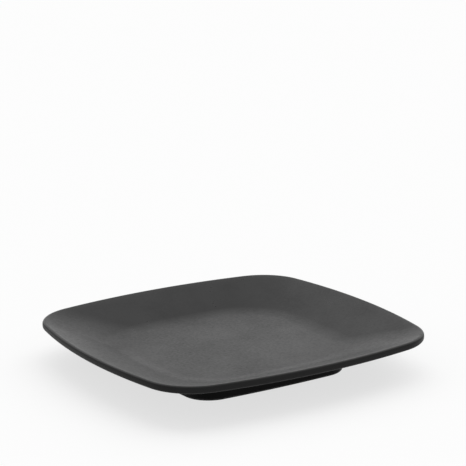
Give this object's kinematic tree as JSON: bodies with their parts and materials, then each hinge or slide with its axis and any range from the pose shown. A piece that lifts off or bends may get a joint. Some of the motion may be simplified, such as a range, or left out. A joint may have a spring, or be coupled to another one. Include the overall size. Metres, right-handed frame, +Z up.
{
  "type": "square dinner plate",
  "caption": "Soft-square stoneware dinner plate with bowed sides, a wide sloping wall round a flat floor, a plain rolled edge and a square foot ring, in satin black glaze.",
  "frame": {"origin": "middle of the foot ring, on the plane of its standing face", "axes": "+Z up out of the dish, X and Y square to the sides"},
  "size_m": [0.26, 0.26, 0.033],
  "materials": {
    "clay": "bare fired stoneware",
    "face_glaze": "satin black glaze",
    "under_glaze": "satin black glaze, a second spraying"
  },
  "bodies": {
    "root": {"clay_body": "clay", "face_glaze": "face_glaze", "underside_glaze": "under_glaze", "recess_glaze": "under_glaze"}
  },
  "joints": []
}
